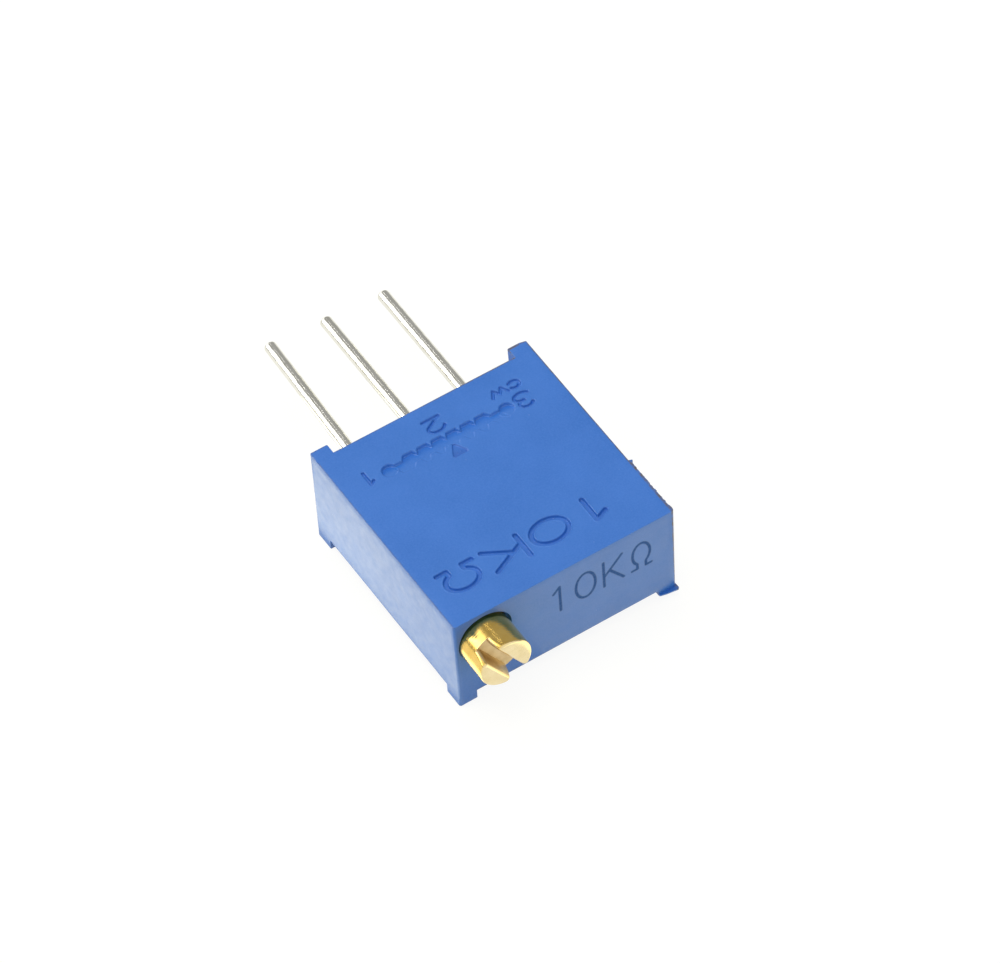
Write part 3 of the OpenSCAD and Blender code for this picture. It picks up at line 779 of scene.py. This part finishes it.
print("blue plastic:", len(blue.tree.nodes), "nodes")

# %% Rubbed edges
at = blue.along()
# the top's edges: the distance to the sides or to the end, which the standoffs carry further back
side_gap = blue.math("SUBTRACT", half_width, blue.math("ABSOLUTE", at["X"]))
standoff_inner_x = 4.0
standoff = blue.math("LESS_THAN", side_gap, half_width - standoff_inner_x)
back_line = blue.math("ADD", lead_face_y, blue.product(standoff, seat_y - lead_face_y))
top_gap = blue.math("MINIMUM", side_gap, blue.math("SUBTRACT", back_line, at["Y"]))
on_top = blue.span(at["Z"], top_z - 0.07, top_z - 0.03, 0, 1)
top_line = blue.product(blue.span(top_gap, 0.025, 0.065, 1, 0), on_top)
top_line = blue.product(top_line, blue.span(at["X"], -4.0, 4.0, 0.35, 1.0))
# the front's lower edge between the feet, and its right upright
on_front = blue.span(at["Y"], front_y + 0.03, front_y + 0.06, 1, 0)
low_line = blue.product(on_front, blue.span(at["Z"], underside_z + 0.03, underside_z + 0.07, 1, 0))
low_line = blue.product(low_line, blue.math("GREATER_THAN", side_gap, 0.9))
right_line = blue.product(on_front, blue.span(at["X"], half_width - 0.06, half_width - 0.03, 0, 1))
line = blue.math("MAXIMUM", top_line, blue.math("MAXIMUM", low_line, right_line))
rubbed_off = blue.product(line, blue.span(blue.noise(5.0, 4.0), 0.35, 0.6, 0.25, 0.95))
body_blue = blue.mix(rubbed_off, body_blue, rgb(96, 88, 84))

# %% Ink, and the case's surface
ink_cover = blue.product(blue.vertex_value("ink"), blue.span(blue.noise(9.0), 0.3, 0.6, 0.8, 1.0))
blue.set("Base Color", blue.mix(ink_cover, body_blue, rgb(0, 72, 142)))
blue.set("Roughness", blue.math("MAXIMUM", blue.drift(3.0, 0.34, 0.44, 4.0), blue.product(ink_cover, 0.9)))
blue.bump((blue.noise(2.2, 2.0), 0.0022), (blue.noise(20.0), 0.0012))
piece("moulded_case", case_bm, "case", "case_plastic", blue.material, "housing")

# %% [markdown]
# ## Potting
# The back of the case is filled with epoxy, which hides the ceramic plate. It creeps up the walls
# before it sets, so its surface is a shallow dish with a raised rim. The flat face is refilled like
# the case's top, and each vertex is moved by its distance to the wall. A sculpted dish would do as
# well, but the rim would have to follow the notches of the leads by hand.

# %% Epoxy fill
potting_bm = flat_faces_of("potting")
potting_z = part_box("potting")[0].z / MM


def in_epoxy_face(vert):
    return abs(vert.co.z - potting_z) < 0.002


for edge in [e for e in potting_bm.edges if all(map(in_epoxy_face, e.verts)) and e.is_convex]:
    if edge.calc_length() > wave_step:
        bmesh.ops.subdivide_edges(potting_bm, edges=[edge], cuts=int(edge.calc_length() / wave_step))
rim_lines = [np.array([[v.co.x, v.co.y] for v in e.verts]) for e in potting_bm.edges
             if e.is_manifold and e.is_convex and all(map(in_epoxy_face, e.verts))
             and any(abs(f.normal.z) < 0.1 for f in e.link_faces)]
refill(potting_bm, 2, potting_z, 0.16)
surface = [v for v in potting_bm.verts if in_epoxy_face(v)]
surface_points = np.array([(v.co.x, v.co.y) for v in surface])
creep_height, creep_reach, dish_depth, ripple = 0.07, 0.22, 0.02, 0.015
creep = creep_height * np.exp(-distance_to(surface_points, *segments(rim_lines)) / creep_reach)
for vert, rise in zip(surface, creep):
    vert.co.z -= rise - dish_depth + ripple * noise.noise(vert.co * 0.7)

epoxy = Finish("potting_epoxy", IOR=1.55)
epoxy.set("Base Color", epoxy.mix(epoxy.drift(0.8, detail=4.0), rgb(46, 84, 142), rgb(60, 104, 168)))
epoxy.set("Roughness", epoxy.drift(5.0, 0.22, 0.4))
epoxy.bump((epoxy.noise(1.4), 0.02), (epoxy.noise(12.0), 0.002))
piece("potting_fill", potting_bm, "case", "potting_epoxy", epoxy.material, "potting")

# %% [markdown]
# ## The adjusting screw
# The head is turned brass with a thin gilt, and a slot sawn across it. The lathe leaves fine rings
# round it, and they break the long highlight into sparks. The slot leaves two blades with round tips.
# A cylinder with a box cut out of it would do, but a bevel on its many small edges leaves steps that
# the gilt shows as dark lines. So the head is drawn as one skin: two blades, the slot's floor between
# them, and a shoulder below. It is then joined to the exact worm, which keeps its mesh with the wheel.

# %% Measures of the head
screw_front_y = (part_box("adjusting_screw")[0] / MM).y
head_back = front_y + 0.12
head_length = head_back - screw_front_y
slot_depth = 0.68
slot_turn = math.radians(58)
rim_round = 0.1
tip_round = 0.14
# for each blade: which way it lies, and how far the slot's wall is from the axis, in front and at the floor
BLADES = [(1, 0.42, 0.25), (-1, 0.30, 0.15)]
wall_bow = 1.5
tip_steps, rim_steps, gap_steps, wall_rows, round_rows = 9, 50, 12, 5, 6
print("head", round(2 * head_r, 2), "mm across and", round(head_length, 2), "mm long")


# %% Rings and skins
def ring(bm, points, height):
    return [bm.verts.new((x, y, height)) for x, y in points]


def skin_between(bm, low, high):
    """Joins two rings of the same number of vertices with quads."""
    for k in range(len(low)):
        after = (k + 1) % len(low)
        bm.faces.new((low[k], low[after], high[after], high[k]))


def blade_outline(chord, inset):
    """The part of the head beyond a chord, seen along the axis, with both tips rounded."""
    # a tip's round touches the slot's wall and the head's rim from inside
    centre_y = chord + tip_round
    centre_x = math.sqrt((head_r - tip_round) ** 2 - centre_y**2)
    rim_angle = math.atan2(centre_y, centre_x)
    r = tip_round - inset
    right = [(centre_x + r * math.cos(a), centre_y + r * math.sin(a))
             for a in np.linspace(-math.pi / 2, rim_angle, tip_steps)]
    rim = [((head_r - inset) * math.cos(a), (head_r - inset) * math.sin(a))
           for a in np.linspace(rim_angle, math.pi - rim_angle, rim_steps)[1:-1]]
    return right + rim + [(-x, y) for x, y in reversed(right)]


# %% Turned head with a sawn slot
head_bm = bmesh.new()
# the head's height runs from 0 at its front to head_length; a row is an inset and a height
rows = [(0.0, height) for height in np.linspace(slot_depth, rim_round, wall_rows)[:-1]]
rows += [(rim_round * (1 - math.cos(a)), rim_round * (1 - math.sin(a)))
         for a in np.linspace(0, math.pi / 2, round_rows)]
feet = []
for sign, front_chord, floor_chord in BLADES:
    rings = []
    for inset, height in rows:
        chord = floor_chord + (front_chord - floor_chord) * (1 - height / slot_depth) ** wall_bow
        rings.append(ring(head_bm, [(sign * x, sign * y) for x, y in blade_outline(chord, inset)], height))
    for low, high in zip(rings, rings[1:]):
        skin_between(head_bm, high, low)
    head_bm.faces.new(rings[-1])
    feet.append(rings[0])
# below the slot the rim goes all round: it takes the blades' own points and fills the gaps between
shoulder, slot_floor = [], []
for foot, other in (feet, feet[::-1]):
    on_rim = foot[tip_steps - 1:1 - tip_steps]
    start, stop = (math.atan2(v.co.y, v.co.x) for v in (on_rim[-1], other[tip_steps - 1]))
    gap = [(head_r * math.cos(a), head_r * math.sin(a))
           for a in np.linspace(start, stop + (2 * math.pi if stop < start else 0), gap_steps)[1:-1]]
    gap = ring(head_bm, gap, slot_depth)
    shoulder += on_rim + gap
    slot_floor += foot[tip_steps - 1::-1] + foot[:-tip_steps - 1:-1] + gap
head_bm.faces.new(slot_floor)
back_ring = ring(head_bm, [(v.co.x, v.co.y) for v in shoulder], head_length)
skin_between(head_bm, shoulder, back_ring)
head_bm.faces.new(back_ring)
bmesh.ops.recalc_face_normals(head_bm, faces=head_bm.faces)
print("head:", len(head_bm.faces), "faces")

# %% Join the head to the exact worm
screw_bm = flat_faces_of("adjusting_screw")
behind = bmesh.ops.bisect_plane(screw_bm, geom=screw_bm.verts[:] + screw_bm.edges[:] + screw_bm.faces[:],
                                plane_co=(0, head_back + 0.01, 0), plane_no=(0, -1, 0), clear_outer=True)
cut_rim = [g for g in behind["geom_cut"] if isinstance(g, bmesh.types.BMEdge)]
bmesh.ops.contextual_create(screw_bm, geom=cut_rim)
turn_head = Quaternion((1, 0, 0), math.radians(-90)) @ Quaternion((0, 0, 1), slot_turn)
for vert in head_bm.verts:
    vert.co = turn_head @ vert.co + Vector((axis_x, screw_front_y, axis_z))
joined = bpy.data.meshes.new("joined")
head_bm.to_mesh(joined)
head_bm.free()
screw_bm.from_mesh(joined)
print("screw:", len(screw_bm.faces), "faces")

# %% [markdown]
# Gilt brass is a metal shader with a yellow base, duller where the slot was sawn, and with a painted
# reflection of the bright floor: a paler end face. The rings of the lathe are a noise that changes fast
# along the axis and hardly at all round it. Real grooves would need thousands of faces for something that
# only a highlight shows.

# %% Gilt brass
gilt = Finish("gilt_brass", Metallic=1.0)
lathe_rings = gilt.noise(1.0, 4.0, 0.7, stretch=(0.5, 13.0, 0.5))
blotches = gilt.drift(2.0)
flank = gilt.mix(blotches, rgb(236, 194, 98), rgb(244, 208, 118))
# painted reflection: the end face is paler, as the bright floor in front of it makes it look
painted_floor_reflection = gilt.mix(blotches, rgb(230, 210, 158), rgb(240, 222, 176))
sawn = gilt.mix(blotches, rgb(196, 170, 122), rgb(216, 192, 146))
axial = gilt.along()["Y"]
on_face = gilt.span(axial, screw_front_y + 0.02, screw_front_y + rim_round, 1, 0)
offset = gilt.tree.nodes.new("ShaderNodeVectorMath")
offset.operation = "DOT_PRODUCT"
across_slot = Vector((math.sin(slot_turn), 0, math.cos(slot_turn)))
gilt.feed(offset.inputs[0], gilt.place)
gilt.feed(offset.inputs[1], across_slot)
# the slot is wider on one side of the axis, so its middle is a little to that side
slot_shift = -0.06
slot_middle = across_slot.dot(Vector((axis_x, 0, axis_z))) + slot_shift
from_middle = gilt.math("ABSOLUTE", gilt.math("SUBTRACT", offset.outputs["Value"], slot_middle))
slot_floor_y = screw_front_y + slot_depth
in_slot = gilt.product(gilt.span(from_middle, 0.33, 0.39, 1, 0),
                       gilt.span(axial, slot_floor_y + 0.01, slot_floor_y + 0.03, 1, 0))
gilt.set("Base Color", gilt.mix(in_slot, gilt.mix(on_face, flank, painted_floor_reflection), sawn))
turned = gilt.span(lathe_rings, 0.3, 0.7, 0.10, 0.18)
gilt.set("Roughness", gilt.math("MAXIMUM", turned, gilt.product(in_slot, 0.42)))
gilt.bump((lathe_rings, 0.008), (gilt.noise(18.0), 0.0010))
piece("gilt_screw", screw_bm, "screw", "gilt_brass", gilt.material, "adjusting_screw")

# %% [markdown]
# ## Tinned leads
# A lead is round wire, dipped in tin. Tin flows as it sets, so the surface is slightly lumpy and its
# highlight wanders. A plain cylinder can't show that. Each lead is drawn as many rings along its
# axis, and noise pushes every ring's points in or out. The inner end is coined flat, where it is
# soldered to the plate.

# %% Lumpy wires
wire_r, wire_tip = 0.255, 0.12
wire_sides = 40
ring_step = 0.07
coin_half_width, coin_half_height, coin_square = 0.285, 0.18, 5


def coined_r(c, d):
    """The coined wire's distance from its axis in a direction: a rectangle with very round corners."""
    sum_of_shares = abs(c / coin_half_width) ** coin_square + abs(d / coin_half_height) ** coin_square
    return sum_of_shares ** (-1 / coin_square)


def tinned_lead(number, material):
    mount = next(m for m in frame["record"]["mounts"] if m["name"] == f"lead_{number}")
    axis = Vector(mount["axis"]).normalized()
    seat = Vector(mount["pos_m"]) / MM
    low, high = (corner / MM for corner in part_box(f"lead_{number}"))
    # the distances along the axis where the wire starts, stops being flat, and stops
    start, flat_until, stop = ((y - seat.y) / axis.y for y in (low.y + 0.01, lead_face_y - 0.1, high.y))
    side = axis.cross(Vector((0, 0, 1))).normalized()
    up = side.cross(axis)
    quarter = np.linspace(0, math.pi / 2, 7)
    bm = bmesh.new()
    rings = []
    for s in [*np.arange(start, stop - wire_tip, ring_step),
              *(stop - wire_tip * (1 - math.sin(a)) for a in quarter)]:
        near_tip = max(0.0, s - (stop - wire_tip)) / wire_tip
        round_r = wire_r - wire_tip * (1 - math.sqrt(max(0.0, 1 - near_tip**2)))
        verts = []
        for a in np.linspace(0, 2 * math.pi, wire_sides, endpoint=False):
            c, d = math.cos(a), math.sin(a)
            r = coined_r(c, d) if s < flat_until else round_r
            place = seat + axis * s + side * (c * r) + up * (d * r)
            lump = 0.006 * noise.noise(place * 3.0) + 0.003 * noise.noise(place * 9.0)
            verts.append(bm.verts.new(place + (side * c + up * d) * (lump if s > flat_until else 0)))
        rings.append(verts)
    for low_ring, high_ring in zip(rings, rings[1:]):
        skin_between(bm, low_ring, high_ring)
    bm.faces.new(rings[0])
    bm.faces.new(rings[-1])
    bmesh.ops.recalc_face_normals(bm, faces=bm.faces)
    return piece(f"tinned_lead_{number}", bm, "case", "tinned_wire", material, f"lead_{number}")


tin = Finish("tinned_wire", Metallic=1.0)
tin.set("Base Color", tin.mix(tin.drift(1.5, detail=4.0), rgb(226, 224, 212), rgb(240, 238, 230)))
tin.set("Roughness", tin.drift(6.0, 0.1, 0.24, 4.0))
tin.bump((tin.noise(2.6), 0.010), (tin.noise(16.0), 0.0012))
for number in (1, 2, 3):
    tinned_lead(number, tin.material)

# %% [markdown]
# ## What is sealed inside
# The wheel, the wiper, the plate and its films show only when the part is taken apart, but they get
# true finishes too. Their exact meshes stay as they are: redrawing them would risk the fit of the
# worm and the wheel for edges that nobody sees.

# %% Inner finishes
def inner_finish(name, dark, light, patch_per_mm, roughness, relief, metal=False):
    """A finish whose colour and roughness drift between two values, over a fine relief."""
    made = Finish(name, Metallic=float(metal))
    made.set("Base Color", made.mix(made.drift(patch_per_mm, detail=4.0), rgb(*dark), rgb(*light)))
    made.set("Roughness", made.drift(patch_per_mm * 3, *roughness))
    made.bump((made.noise(patch_per_mm * 8, 4.0), relief))
    return made.material


# the darkest and lightest colour, patches to the millimetre, the range of roughness, and the relief
INNER = {
    "shaft_seal": inner_finish("black_rubber", (24, 24, 25), (38, 38, 40), 2.0, (0.6, 0.8), 0.004),
    "retaining_clip": inner_finish("spring_steel", (150, 150, 152), (182, 182, 184), 1.5, (0.25, 0.4),
                                   0.002, metal=True),
    "worm_wheel": inner_finish("cream_moulding", (222, 214, 190), (234, 228, 208), 1.0, (0.4, 0.55), 0.002),
    "wiper": inner_finish("wiper_bronze", (196, 146, 92), (218, 172, 118), 2.0, (0.22, 0.36),
                          0.001, metal=True),
    "ceramic_substrate": inner_finish("alumina", (226, 224, 216), (240, 239, 233), 0.8, (0.6, 0.75), 0.003),
    "resistive_track": inner_finish("cermet_film", (40, 41, 44), (58, 58, 62), 3.0, (0.3, 0.45), 0.002),
    "film": inner_finish("conductor_film", (176, 174, 166), (204, 202, 194), 3.0, (0.35, 0.5),
                         0.002, metal=True),
    "solder": inner_finish("solder", (168, 168, 166), (204, 204, 202), 1.5, (0.2, 0.4), 0.01, metal=True),
}
for name in ("end_conductor_1", "end_conductor_3", "collector_conductor"):
    INNER[name] = INNER["film"]
for number in (1, 2, 3):
    INNER[f"solder_joint_{number}"] = INNER["solder"]
for name, material in INNER.items():
    if name in nodes:
        nodes[name].data.materials.clear()
        nodes[name].data.materials.append(material)
print("inner pieces:", sum(name in nodes for name in INNER))

# %% Update the scene
bpy.context.view_layer.update()
